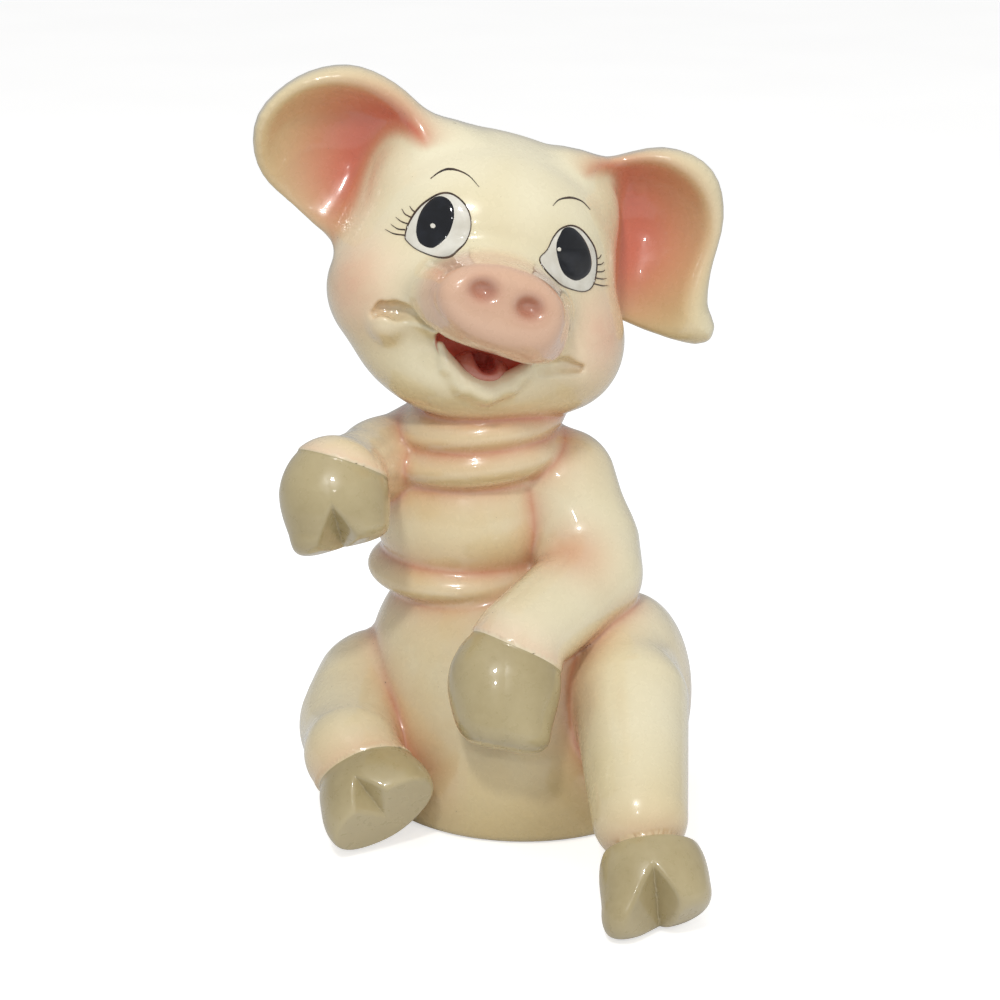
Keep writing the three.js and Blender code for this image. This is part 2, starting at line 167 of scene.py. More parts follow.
def outline_distance(u, w, loop):
    """Signed distance in a plane to a closed loop of points, negative inside."""
    nearest = np.full(len(u), np.inf)
    inside = np.zeros(len(u), bool)
    for a, b in zip(loop, np.roll(loop, -1, 0)):
        edge = b - a
        du, dw = u - a[0], w - a[1]
        share = np.clip((du * edge[0] + dw * edge[1]) / (edge @ edge), 0, 1)
        nearest = np.minimum(nearest, (du - share * edge[0]) ** 2 + (dw - share * edge[1]) ** 2)
        if edge[1] != 0:
            crosses = (a[1] > w) != (b[1] > w)
            inside ^= crosses & (du < edge[0] * dw / edge[1])
    return np.where(inside, -1, 1) * np.sqrt(nearest)


# ---------------------------------------------------------------- torso

def torso_lumps(p):
    """Fillet and distance of the belly, its upper swell, four rolls up to the double chin, and the neck."""
    lean = rotation("y", -TORSO_LEAN)
    return [
        (14, ellipsoid(p, (0, -3, 24), (76, 74, 84))),
        (14, ellipsoid(p, (-20, 0, 64), (52, 52, 50))),
        (4, ellipsoid(p, (-29, -2, 106), (45, 44, 15))),
        (4, ellipsoid(p, (-27, -3, 133), (43, 41, 40), lean)),
        (4, ellipsoid(p, (-21, -6, 163), (43, 41, 16), lean)),
        (4, ellipsoid(p, (-18, -8, 178), (39, 38, 15), lean)),
        (3, taper(p, (-22, 0, 150), (-17, 1, 226), 36, 28)),
    ]


def torso_form(p):
    (_, d), *lumps = torso_lumps(p)
    for fillet, lump in lumps:
        d = soft_min(d, lump, fillet)
    return d


# ---------------------------------------------------------------- head, in its own frame

SMILE = [
    [
        (-48, -37, -29, 1.4), (-45, -37.5, -26, 3), (-40, -40, -25, 3.7),
        (-31, -46.5, -23.5, 3.2), (-23, -52, -27, 3),
    ],
    [(22, -50, -34, 3), (29, -46, -33.5, 3), (37, -44.5, -31, 3), (44, -42, -30.5, 1.6)],
]
DIMPLES = [(-41.5, -35, -32, 7), (42, -34, -35, 7)]
LIP_ROLL = [
    (-23, -54, -16, 7), (-12, -62, -16, 8), (3, -66, -16.5, 9), (14, -66, -19.5, 9), (21.5, -60, -22, 7.5),
]
LOWER_LIP = [
    (-18, -43.5, -34.5, 1.2), (-12.5, -43.5, -42.5, 2.8), (-3, -44, -48.5, 4.4), (6.4, -44, -49.5, 5),
    (14.5, -43.5, -44.5, 4.2), (19.5, -43.5, -38.5, 2.6), (22, -43.5, -33.5, 1.2),
]
SNOUT_MIDDLE, SNOUT_HALF_DEPTH, SNOUT_ROUND = -66, 15, 9
NOSTRILS = [(-14.5, -85, -4), (6.5, -85, -6.5)]
NOSTRIL_RADII = (6, 8, 4.6)


def skull_form(q):
    m = mirrored(q)
    d = ellipsoid(q, (0, 6, 14), (58, 55, 42))
    d = soft_min(d, taper(q, (-36, 8, 36), (36, 8, 36), 17, 17), 16)
    d = soft_min(d, ellipsoid(m, (31, -6, -20), (36, 38, 32)), 18)
    d = soft_min(d, ellipsoid(q, (36, -8, -30), (32, 34, 28)), 14)
    d = soft_min(d, ellipsoid(q, (0, -10, -47), (43, 36, 23)), 14)
    return soft_min(d, ellipsoid(q, (-2, -43, -12), (35, 33, 20)), 12)


def snout_form(q):
    """A thick oval disc, with the upper lip rolled along its lower edge."""
    depth = np.abs(q[:, 1] - SNOUT_MIDDLE) - SNOUT_HALF_DEPTH
    disc = soft_max(ellipsoid(q, (-4, -72, -9), (27.5, 60, 16.5)), depth, SNOUT_ROUND)
    return soft_min(disc, limb(q, LIP_ROLL, 8), 8)


def mouth_form(q):
    """The opening under the snout, with the red inside of the mouth."""
    throat = ellipsoid(q, (0.5, -47, -32), (21.5, 18, 12))
    return soft_min(throat, ellipsoid(q, (3.5, -47, -39.5), (12, 13, 8)), 5)


def head_form(q):
    d = soft_min(skull_form(q), snout_form(q), 12)
    for x, y, z, radius in DIMPLES:
        d = soft_min(d, ellipsoid(q, (x, y, z), (radius, radius, radius)), 5)
    for crease in SMILE:
        d = soft_max(d, -limb(q, crease, 2), 3)
    for nostril in NOSTRILS:
        d = soft_max(d, -ellipsoid(q, nostril, NOSTRIL_RADII), 4)
    d = soft_max(d, -mouth_form(q), 3)
    return soft_min(d, limb(q, LOWER_LIP, 5), 3.5)


EAR_MIDDLE, EAR_HALF_DEPTH = 6, 17          # the slab that an ear is cut from, along the head's depth
EAR_ROUND = 15                              # fillet round the slab's edge
EAR_MARGIN = 6                              # how far the slab reaches beyond its outline
BOWL_BLEND, BOWL_LIP = 12, 7                # fillets between the two scoops and round the bowl's rim

EARS = {
    "left_ear": dict(
        side=1,
        outline=[
            (24, 46), (46, 53), (70, 64), (88, 61), (97, 45), (98, 21), (101, 5), (107, -6), (90, -7),
            (62, -6), (36, -3),
        ],
        scoops=[((62, -20, 33), (36, 38, 32)), ((66, -32, -2), (33, 44, 48))],
        deepest=(52, 8, 28),
    ),
    "right_ear": dict(
        side=-1,
        outline=[
            (22, 42), (40, 51), (60, 61), (78, 63), (95, 54), (106, 37), (102, 20), (88, 8), (60, -2),
            (34, -2),
        ],
        scoops=[((75, -20, 30), (38.5, 38, 32)), ((86, -32, 8), (36, 44, 34))],
        deepest=(50, 8, 34),
    ),
}


def bowl_form(m, ear):
    """The hollow of an ear: a deep bowl that opens into a shallow one below it."""
    deep, shallow = ear["scoops"]
    return soft_min(ellipsoid(m, *deep), ellipsoid(m, *shallow), BOWL_BLEND)


def ear_form(q, ear):
    m = q * vec(ear["side"], 1, 1)
    edge = outline_distance(m[:, 0], m[:, 2], smooth_loop(ear["outline"], 4)) - EAR_MARGIN
    leaf = soft_max(edge, np.abs(m[:, 1] - EAR_MIDDLE) - EAR_HALF_DEPTH, EAR_ROUND)
    return soft_max(leaf, -bowl_form(m, ear), BOWL_LIP)


# ---------------------------------------------------------------- limbs

HOOVES = {
    "left_fore_hoof": dict(
        at=(20, -81, 83), toes=(0.18, -0.5, -0.85), across=(0.93, 0.36, 0), width=24, depth=19,
        sole=29.5, sole_slope=-0.2, sole_round=9, splay=5.5, toe=14.5,
        cleft=60, bound=-17, bound_slope=0.5, cuff=0.8,
    ),
    "right_fore_hoof": dict(
        at=(-59, -80, 159), toes=(0.3, -0.36, -0.88), across=(0.88, 0.38, 0.2), width=23.5, depth=20,
        sole=23, sole_slope=0.11, sole_round=5, splay=10, toe=11,
        cleft=7, bound=-16, bound_slope=0.5, cuff=0.8,
    ),
    "left_hind_hoof": dict(
        at=(99, -117, 22), toes=(0.34, -0.7, -0.62), across=(0.8, 0.55, 0.3), width=22, depth=18,
        sole=23, sole_slope=0.3, sole_round=7, splay=11.5, toe=12,
        cleft=3.5, bound=-11, bound_slope=0, cuff=-1,
    ),
    "right_hind_hoof": dict(
        at=(-36.5, -95.7, 26.7), toes=(0.69, -0.59, -0.42), across=(0.71, 0.445, 0.54), width=24, depth=20,
        sole=13, sole_slope=0, sole_round=1.5, splay=13, toe=12,
        cleft=1, bound=-14, bound_slope=0.3, cuff=0.8,
    ),
}
CLEFT_ANGLE = 40                            # how far a cleft opens towards the toes, in degrees
CLEFT_SLANT = 22                            # how far its valley runs inwards


def hoof_frame(toes, across):
    """Columns: sideways, to the front, and down to the toes."""
    down = vec(*toes) / np.linalg.norm(toes)
    sideways = vec(*across) - down * (vec(*across) @ down)
    sideways /= np.linalg.norm(sideways)
    return np.stack([sideways, np.cross(down, sideways), down], 1)


def in_hoof(p, hoof):
    return (p - vec(*hoof["at"])) @ hoof_frame(hoof["toes"], hoof["across"])


def paw_form(q, hoof):
    """The rounded paw that a hoof and the cuff above it share."""
    width, depth, sole, toe = hoof["width"], hoof["depth"], hoof["sole"], hoof["toe"]
    cap = ellipsoid(q, (0, 0, 0), (width, depth, width + 2))
    toes = taper(mirrored(q), (0.2 * width, 0, 2), (hoof["splay"], 1, sole - 0.4 * toe), 0.66 * width, toe)
    tread = (q[:, 2] + hoof["sole_slope"] * q[:, 0] - sole) / math.hypot(1, hoof["sole_slope"])
    return soft_max(soft_min(cap, toes, 8), tread, hoof["sole_round"])


def rim_distance(q, hoof):
    """How far a point lies past the rim between cuff and hoof, towards the toes."""
    return (q[:, 2] - hoof["bound"] - hoof["bound_slope"] * q[:, 0]) / math.hypot(1, hoof["bound_slope"])


def hoof_form(p, hoof):
    q = in_hoof(p, hoof)
    side, down, inwards = np.abs(q[:, 0]), q[:, 2] - hoof["cleft"], hoof["depth"] - q[:, 1]
    opening, slant = math.radians(CLEFT_ANGLE), math.radians(CLEFT_SLANT)
    cleft = side * math.cos(opening) - down * math.sin(opening) + inwards * math.sin(slant)
    return soft_max(soft_max(paw_form(q, hoof), -cleft, 1.5), -rim_distance(q, hoof), 1)


def cuff_form(p, hoof):
    q = in_hoof(p, hoof)
    return soft_max(paw_form(q, hoof) - hoof["cuff"], rim_distance(q, hoof), 1)


def left_arm_form(p):
    upper = limb(p, [(17, 5, 148, 25), (31, -2, 121, 23), (37, -12, 112, 21)], 8)
    arm = soft_min(upper, taper(p, (38, -14, 111), (22, -66, 97), 21.5, 20), 8)
    return soft_min(arm, cuff_form(p, HOOVES["left_fore_hoof"]), 6)


def right_arm_form(p):
    arm = limb(p, [(-46, 8, 164, 19), (-59, -30, 161, 17), (-60, -60, 164, 16.5)], 8)
    return soft_min(arm, cuff_form(p, HOOVES["right_fore_hoof"]), 6)


def left_leg_form(p):
    haunch = ellipsoid(p, (51, -6, 49), (31, 46, 51))
    return soft_min(haunch, taper(p, (65, -40, 64), (87, -98, 38), 26, 20.5), 12)


def right_leg_form(p):
    haunch = limb(p, [(-54, 12, 32, 34), (-64, -24, 42, 29), (-64, -46, 36, 25)], 10)
    leg = soft_min(haunch, taper(p, (-64, -46, 36), (-53, -80, 38), 25, 22), 14)
    return soft_min(leg, cuff_form(p, HOOVES["right_hind_hoof"]), 6)


# ---------------------------------------------------------------- the whole figure
# Each casting: its form, the fillet where it joins the rest, and a rough box around it.

CASTINGS = {
    "torso_shell": (torso_form, 4, (-95, -84, -8), (85, 80, 234)),
    "head_shell": (lambda p: head_form(to_head(p)), 3, (-98, -102, 168), (66, 72, 325)),
    "left_ear": (lambda p: ear_form(to_head(p), EARS["left_ear"]), 10, (-14, -30, 190), (95, 75, 315)),
    "right_ear": (lambda p: ear_form(to_head(p), EARS["right_ear"]), 10, (-128, -80, 238), (2, 40, 352)),
    "left_leg": (left_leg_form, 4, (12, -128, -8), (122, 50, 114)),
    "right_leg": (right_leg_form, 4, (-106, -128, -10), (-4, 58, 90)),
    "left_arm": (left_arm_form, 5, (-14, -112, 56), (70, 42, 182)),
    "right_arm": (right_arm_form, 5, (-96, -110, 130), (-18, 40, 194)),
}
for hoof_name, hoof in HOOVES.items():
    CASTINGS[hoof_name] = (
        lambda p, hoof=hoof: hoof_form(p, hoof), 1.5, vec(*hoof["at"]) - 38, vec(*hoof["at"]) + 38,
    )
FAR = 40.0                                  # stands for the distance to a casting whose box is elsewhere


def boxed(form, p, lo, hi):
    inside = ((p > lo) & (p < hi)).all(1)
    d = np.full(len(p), FAR)
    d[inside] = form(p[inside])
    return d


def figure(p):
    """The blended figure at p, and the distance to each casting on its own."""
    apart = {name: boxed(form, p, lo, hi) for name, (form, fillet, lo, hi) in CASTINGS.items()}
    whole = np.full(len(p), FAR)
    for name, distance in apart.items():
        whole = soft_min(whole, distance, CASTINGS[name][1])
    return soft_max(whole, -p[:, 2], 5), apart


# ---------------------------------------------------------------- one casting out of the figure

def torso_openings(p, whole):
    """The coin slot in the back, the outlet in the base and the hollow of the foot ring."""
    slot = np.maximum(
        np.abs(p[:, 0] - SLOT_X) - SLOT_LENGTH / 2, np.abs(p[:, 2] - SLOT_Z) - SLOT_HEIGHT / 2
    )
    whole = soft_max(whole, -np.maximum(slot, -p[:, 1]), OPENING_ROUND)
    outlet = np.hypot(p[:, 0] - OUTLET_CENTRE[0], p[:, 1] - OUTLET_CENTRE[1]) - OUTLET_RADIUS
    whole = soft_max(whole, -np.maximum(outlet, p[:, 2] - OUTLET_TOP), OPENING_ROUND)
    under = np.maximum(torso_form(p) + FOOT_RING_WIDTH, p[:, 2] - FOOT_RING_HEIGHT)
    return soft_max(whole, -under, OPENING_ROUND)


def casting_fields(p, name):
    """Three distances, all negative in the clay: outer surface, joint to the neighbours, wall's inside."""
    whole, apart = figure(p)
    others = np.min([distance for other, distance in apart.items() if other != name], axis=0)
    joint = (apart[name] - others) / 2
    hollow = np.full(len(p), -FAR)
    if name == "torso_shell":
        hollow = -np.maximum(apart[name] + CAST_WALL, FOOT_RING_HEIGHT + CAST_WALL - p[:, 2])
        whole = torso_openings(p, whole)
    if name == "head_shell":
        hollow = -(apart[name] + CAST_WALL)
    return np.stack([whole, joint, hollow])


COARSE = 4                                  # fine grid steps in a coarse one
NEAR_SURFACE = 1.3                          # coarse steps from the surface that are filled in finely
BATCH = 200000                              # points worked out at a time
LONGEST_STEP = 1.0                          # millimetres that a point may move towards the surface at once


def sample(fields, lo, hi, cell):
    """Grids of the fields between two corners, fine near their common surface and coarse elsewhere."""
    wide = cell * COARSE
    shape = np.ceil((np.array(hi) - lo) / wide).astype(int)
    nodes = np.stack(np.meshgrid(*[np.arange(n + 1) for n in shape], indexing="ij"), -1).reshape(-1, 3)
    rough = fields(lo + wide * nodes)
    rough = rough.reshape(len(rough), *(shape + 1))
    size = np.abs(rough.max(0))
    nearest = np.min([
        size[i:i + shape[0], j:j + shape[1], k:k + shape[2]] for i in (0, 1) for j in (0, 1) for k in (0, 1)
    ], axis=0)
    wanted = nearest < NEAR_SURFACE * wide
    fine = rough
    for axis in (1, 2, 3):
        wanted = np.repeat(wanted, COARSE, axis - 1)
        fine = np.repeat(fine, COARSE, axis)
    wanted_nodes = [slice(0, 1 + COARSE * n) for n in shape]
    fine = np.ascontiguousarray(fine[(slice(None), *wanted_nodes)])
    needed = np.zeros(fine.shape[1:], bool)
    for i in (0, 1):
        for j in (0, 1):
            for k in (0, 1):
                needed[i:i + wanted.shape[0], j:j + wanted.shape[1], k:k + wanted.shape[2]] |= wanted
    places = np.argwhere(needed)
    for start in range(0, len(places), BATCH):
        batch = places[start:start + BATCH]
        fine[(slice(None), *batch.T)] = fields(lo + cell * batch)
    return fine


def surface_net(values):
    """Dual surface of a grid of distances.

    There is one vertex in each crossed cell and one quad across each crossed edge.
    """
    cells = np.array(values.shape) - 1
    count = np.zeros(cells, np.int8)
    total = np.zeros((*cells, 3), np.float32)
    for axis in range(3):
        side, other = (axis + 1) % 3, (axis + 2) % 3
        for i in (0, 1):
            for j in (0, 1):
                near = [slice(0, n) for n in cells]
                near[side] = slice(i, i + cells[side])
                near[other] = slice(j, j + cells[other])
                far = list(near)
                far[axis] = slice(1, 1 + cells[axis])
                a, b = values[tuple(near)], values[tuple(far)]
                crossed = (a < 0) != (b < 0)
                total[..., axis] += np.where(crossed, a / np.where(crossed, a - b, 1), 0)
                total[..., side] += i * crossed
                total[..., other] += j * crossed
                count += crossed
    number = np.full(cells, -1)
    number[count > 0] = np.arange((count > 0).sum())
    cell = np.argwhere(count > 0)
    vertices = cell + total[count > 0] / count[count > 0][:, None]
    quads = []
    inside = values < 0
    for axis in range(3):
        side, other = (axis + 1) % 3, (axis + 2) % 3
        near = [slice(1, n) for n in cells]
        near[axis] = slice(0, cells[axis])
        far = list(near)
        far[axis] = slice(1, cells[axis] + 1)
        edge = np.argwhere(inside[tuple(near)] != inside[tuple(far)]) + [s.start for s in near]
        corners = []
        for i, j in ((0, 0), (1, 0), (1, 1), (0, 1)):
            around = edge.copy()
            around[:, side] -= i
            around[:, other] -= j
            corners.append(number[tuple(around.T)])
        quad = np.stack(corners, 1)
        outwards = inside[tuple(edge.T)]
        quads.append(np.where(outwards[:, None], quad, quad[:, ::-1]))
    return cell, vertices, np.concatenate(quads)


def crosses(values, cell):
    """Whether a grid of distances changes sign within each of these cells."""
    corners = [
        values[tuple((cell + [i, j, k]).T)] < 0 for i in (0, 1) for j in (0, 1) for k in (0, 1)
    ]
    return np.any(corners, axis=0) & ~np.all(corners, axis=0)


def slopes(fields, p, reach=0.15):
    """Values and gradients of the fields at p."""
    here = fields(p)
    steps = [(fields(p + reach * axis) - here) / reach for axis in np.eye(3)]
    return here, np.stack(steps, -1)


def settle(fields, p, seam):
    """Moves points onto the outer surface, and seam points onto its edge with the joint; gives normals."""
    for _ in range(3 if seam.any() else 0):
        here, slope = slopes(fields, p[seam])
        normal, across = slope[0], slope[1]
        nn, na, aa = (normal * normal).sum(1), (normal * across).sum(1), (across * across).sum(1)
        spread = np.maximum(nn * aa - na * na, 0.05 * nn * aa + 1e-6)
        along_normal = (here[0] * aa - here[1] * na) / spread
        along_across = (here[1] * nn - here[0] * na) / spread
        step = along_normal[:, None] * normal + along_across[:, None] * across
        p[seam] -= np.clip(step, -LONGEST_STEP, LONGEST_STEP)
    here, slope = slopes(fields, p)
    normal = slope[0]
    length = np.maximum(np.sqrt((normal * normal).sum(1)), 1e-6)
    normal = normal / length[:, None]
    p -= np.clip(here[0] / length, -LONGEST_STEP, LONGEST_STEP)[:, None] * normal
    return p, normal


def casting_mesh(name, cell):
    lo, hi = vec(*CASTINGS[name][2]), vec(*CASTINGS[name][3])

    def fields(p):
        return casting_fields(p, name)

    grids = sample(fields, lo, hi, cell)
    cells, vertices, quads = surface_net(grids.max(0))
    outer, joined = crosses(grids[0], cells), crosses(grids[1], cells)
    seam = outer & joined
    p = lo + cell * vertices
    p[seam] = lo + cell * (cells[seam] + 0.5)
    p[outer], normals = settle(fields, p[outer], seam[outer])
    whole_normals = np.zeros_like(p)
    whole_normals[outer] = normals
    return p, quads, outer[quads].all(1), whole_normals


def add_mesh(name, p, faces, outer=None, normals=None, paint=None):
    """A Blender object from millimetre points and faces, on the row's origin."""
    mesh = bpy.data.meshes.new(name)
    mesh.vertices.add(len(p))
    mesh.vertices.foreach_set("co", ((p - ORIGIN) * MM).astype(np.float32).ravel())
    mesh.loops.add(faces.size)
    mesh.loops.foreach_set("vertex_index", faces.astype(np.int32).ravel())
    mesh.polygons.add(len(faces))
    mesh.polygons.foreach_set("loop_start", np.arange(0, faces.size, faces.shape[1], dtype=np.int32))
    smooth = np.ones(len(faces), bool) if outer is None else outer
    mesh.polygons.foreach_set("use_smooth", smooth)
    mesh.update(calc_edges=True)
    for key, values in (paint or {}).items():
        mesh.attributes.new(key, "FLOAT", "POINT").data.foreach_set("value", values.astype(np.float32))
    if normals is not None:
        corner = normals[faces.ravel()]
        corner[~np.repeat(smooth, faces.shape[1])] = 0
        mesh.normals_split_custom_set(corner.tolist())
    piece = bpy.data.objects.new(name, mesh)
    bpy.context.scene.collection.objects.link(piece)
    return piece


def declare(piece, material, slot, *nodes, body="bank"):
    piece.data.materials.clear()
    piece.data.materials.append(material)
    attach(piece, body)
    if nodes:
        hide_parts(*nodes)


# ---------------------------------------------------------------- the glaze's painted tints and painted shade

# How far each tint runs out from its edge, in millimetres.
CREASE_RUN, HALO_RUN, WRIST_RUN, SNOUT_RUN, NOSTRIL_RUN = 1.8, 6.0, 7.0, 7.0, 2.0
BOWL_RUN, WARM_RUN, TREAD_RUN, GROOVE_RUN = 6.0, 14.0, 3.0, 1.2
CHEEKS = [(-60, -27, -20), (54, -37, -14)]
CHEEK_REACH = 21.0
SHADED_FOLDS = [(-52, -12, 160), (33, -30, 122)]   # painted shade behind the raised arm and at the elbow, where shading gathers
SHADED_FOLD_REACH = 15.0


def fade(distance, length):
    return np.exp(-np.maximum(distance, 0) / length)


def rising(values, start, end):
    share = np.clip((values - start) / (end - start), 0, 1)
    return share * share * (3 - 2 * share)


def bowl_tint(q, ear, inside):
    """How much a point belongs to an ear's inside, olive there from airbrush and painted shade, and to the
    deepest part of its bowl.
    """
    m = q * vec(ear["side"], 1, 1)
    share = fade(np.abs(bowl_form(m, ear)), BOWL_RUN) * rising(inside, -6, -1)
    share *= rising(-m[:, 1], -22, -19)
    return share, share * (1 - rising(np.linalg.norm(m - vec(*ear["deepest"]), axis=1), 18, 58))


def tints(p, normals):
    """How much of each tint lies at each point, both the painter's tints and painted shade, and the distance
    to the mouth's lining.
    """
    _, apart = figure(p)
    q = to_head(p)
    belly, swell, *rolls = [distance for _, distance in torso_lumps(p)][:6]
    limbs = [distance for name, distance in apart.items() if name.endswith(("_leg", "_arm"))]
    gap = np.sort([np.minimum(belly, swell), *rolls, apart["head_shell"], *limbs], axis=0)[1]
    hooves = np.min([apart[name] for name in HOOVES], axis=0)
    torso = apart["torso_shell"]
    cheeks = sum(np.exp(-((q - vec(*cheek)) ** 2).sum(1) / CHEEK_REACH ** 2) for cheek in CHEEKS)
    shaded_folds = sum(np.exp(-((p - vec(*fold)) ** 2).sum(1) / SHADED_FOLD_REACH ** 2) for fold in SHADED_FOLDS)
    bowl, deep = sum(np.array(bowl_tint(q, ear, -apart[name])) for name, ear in EARS.items())
    sprayed = rising(p[:, 2], FOOT_RING_HEIGHT, FOOT_RING_HEIGHT + 4)
    return {
        # crease: pink-red airbrush in the creases, darkened there as painted shade
        "crease": sprayed * fade(gap, CREASE_RUN),
        # a pink airbrushed halo round the creases, with painted shade in the folds behind the raised arm and
        # at the elbow
        "halo_and_fold_shade": sprayed * np.maximum(0.6 * fade(gap, HALO_RUN), 0.8 * np.clip(shaded_folds, 0, 1)),
        "wrist": fade(hooves, WRIST_RUN) * rising(hooves, 0, 1),
        "cheek": np.clip(cheeks, 0, 1),
        "snout": fade(snout_form(q) - 1, SNOUT_RUN) * rising(-q[:, 1], 48, 62),
        # nostril: darker pink in the nostril dents, partly the painter's and partly painted shade
        "nostril": sum(fade(ellipsoid(q, nostril, NOSTRIL_RADII), NOSTRIL_RUN) for nostril in NOSTRILS),
        # bowl: olive inside the ear's bowl, partly airbrush and partly painted shade
        "bowl": np.clip(bowl, 0, 1),
        "deep": np.clip(deep, 0, 1),
        "warm": fade(torso, WARM_RUN),
        # low: olive tint, partly airbrush and partly painted shade, towards the bottom and on surfaces that
        # face down
        "low": np.maximum(rising(-p[:, 2], -90, 0), rising(-normals[:, 2], -0.1, 0.8)),
        "mouth": np.maximum(mouth_form(q), 1.5 - limb(q, LOWER_LIP, 5)),
    }


# ---------------------------------------------------------------- materials

def colour(red, green, blue):
    """Scene-linear RGBA of a display colour given from 0 to 255."""
    return [((value / 255 + 0.055) / 1.055) ** 2.4 for value in (red, green, blue)] + [1.0]


class Finish:
    """A material around one principled shader, with short calls for the nodes that feed it."""

    def __init__(self, name, **sockets):
        self.material = bpy.data.materials.new(name)
        self.material.use_nodes = True
        self.tree = self.material.node_tree
        self.shader = self.tree.nodes["Principled BSDF"]
        for key, value in sockets.items():
            self.shader.inputs[key.replace("_", " ").title().replace("Ior", "IOR")].default_value = value
        self.place = self.node("ShaderNodeTexCoord").outputs["Object"]

    def node(self, kind, **settings):
        made = self.tree.nodes.new(kind)
        for key, value in settings.items():
            setattr(made, key, value)
        return made

    def feed(self, socket, source):
        if isinstance(source, bpy.types.NodeSocket):
            self.tree.links.new(source, socket)
        else:
            socket.default_value = source

    def tint(self, name):
        return self.node("ShaderNodeAttribute", attribute_name=name).outputs["Fac"]

    def noise(self, per_metre, detail=2.0):
        made = self.node("ShaderNodeTexNoise")
        self.feed(made.inputs["Vector"], self.place)
        made.inputs["Scale"].default_value = per_metre
        made.inputs["Detail"].default_value = detail
        return made.outputs["Fac"]

    def span(self, value, start, end, low=0.0, high=1.0):
        made = self.node("ShaderNodeMapRange", interpolation_type="SMOOTHSTEP")
        names = ("Value", "From Min", "From Max", "To Min", "To Max")
        for key, source in zip(names, (value, start, end, low, high)):
            self.feed(made.inputs[key], source)
        return made.outputs["Result"]

    def math(self, operation, a, b):
        made = self.node("ShaderNodeMath", operation=operation)
        self.feed(made.inputs[0], a)
        self.feed(made.inputs[1], b)
        return made.outputs[0]

    def mix(self, share, a, b):
        made = self.node("ShaderNodeMix", data_type="RGBA")
        self.feed(made.inputs[0], share)
        self.feed(made.inputs[6], a)
        self.feed(made.inputs[7], b)
        return made.outputs[2]

    def bump(self, height, depth):
        made = self.node("ShaderNodeBump")
        made.inputs["Strength"].default_value = 1.0
        made.inputs["Distance"].default_value = depth
        self.feed(made.inputs["Height"], height)
        for key in ("Normal", "Coat Normal"):
            self.feed(self.shader.inputs[key], made.outputs["Normal"])

    def done(self, base, roughness=None):
        self.feed(self.shader.inputs["Base Color"], base)
        if roughness is not None:
            self.feed(self.shader.inputs["Roughness"], roughness)
        return self.material


GLOSS = dict(coat_weight=1.0, coat_roughness=0.035, ior=1.5)
RIPPLE_DEPTH = 0.0009                       # metres


def clay_glaze():
    # the painter's tints, with painted shade in creases, folds, undersides, ear bowls and nostrils
    f = Finish("tinted_glaze_with_painted_shade", **GLOSS)
    drift = f.span(f.noise(14), 0.35, 0.65)
    cloud = f.span(f.noise(45, 3), 0.3, 0.7)
    mottle = f.noise(190, 4)
    base = f.mix(drift, colour(237, 229, 198), colour(230, 219, 182))
    warm = f.math("MULTIPLY", f.tint("warm"), f.span(cloud, 0, 1, 0.45, 0.8))
    base = f.mix(warm, base, colour(229, 210, 165))
    # olive airbrush and painted shade on low and downward-facing surfaces
    base = f.mix(f.math("MULTIPLY", f.tint("low"), 0.7), base, colour(204, 180, 124))
    # olive airbrush and painted shade inside the ear's bowl
    base = f.mix(f.math("MULTIPLY", f.tint("bowl"), 0.8), base, colour(207, 177, 128))
    base = f.mix(f.math("MULTIPLY", f.tint("deep"), 0.9), base, colour(204, 94, 72))
    blush = f.math(
        "MAXIMUM", f.math("MULTIPLY", f.tint("cheek"), 0.6), f.math("MULTIPLY", f.tint("wrist"), 0.42)
    )
    base = f.mix(f.math("MULTIPLY", blush, f.span(mottle, 0.3, 0.7, 0.85, 1.0)), base, colour(224, 158, 132))
    base = f.mix(f.math("MULTIPLY", f.tint("snout"), 0.85), base, colour(216, 170, 143))
    # darker pink in the nostril dents, partly airbrush and partly painted shade
    base = f.mix(f.math("MULTIPLY", f.tint("nostril"), 0.8), base, colour(176, 112, 90))
    # pink airbrush round the creases, and painted shade in the folds
    base = f.mix(f.math("MULTIPLY", f.tint("halo_and_fold_shade"), 0.9), base, colour(222, 148, 112))
    # pink-red airbrush and painted shade in the creases between rolls and castings
    crease = f.math("MULTIPLY", f.tint("crease"), f.span(cloud, 0, 1, 0.75, 1.0))
    base = f.mix(crease, base, colour(188, 88, 58))
    lining = f.mix(f.span(f.tint("mouth"), -0.6, 0.6), colour(222, 96, 74), colour(200, 128, 100))
    base = f.mix(f.span(f.tint("mouth"), 1.1, 0.4), base, lining)
    base = f.mix(f.span(f.noise(620, 1), 0.80, 0.84, 0.0, 0.55), base, colour(104, 84, 58))
    f.bump(f.math("ADD", f.noise(38, 2), f.math("MULTIPLY", mottle, 0.05)), RIPPLE_DEPTH)
    return f.done(base, f.span(mottle, 0.3, 0.7, 0.22, 0.32))


def hoof_glaze():
    f = Finish("taupe_hoof_glaze", **GLOSS)
    cloud = f.span(f.noise(26, 3), 0.3, 0.7)
    mottle = f.noise(210, 4)
    base = f.mix(cloud, colour(182, 167, 126), colour(166, 150, 108))
    base = f.mix(f.span(mottle, 0.4, 0.75, 0.0, 0.18), base, colour(200, 186, 146))
    base = f.mix(f.math("MULTIPLY", f.tint("edge"), 0.45), base, colour(206, 192, 154))
    # dark brown painted shade where a hoof meets the parts beside it
    base = f.mix(f.math("MULTIPLY", f.tint("crease"), 0.35), base, colour(128, 100, 68))
    f.bump(f.math("ADD", f.noise(30, 2), f.math("MULTIPLY", mottle, 0.06)), RIPPLE_DEPTH)
    return f.done(base, f.span(mottle, 0.3, 0.7, 0.26, 0.36))


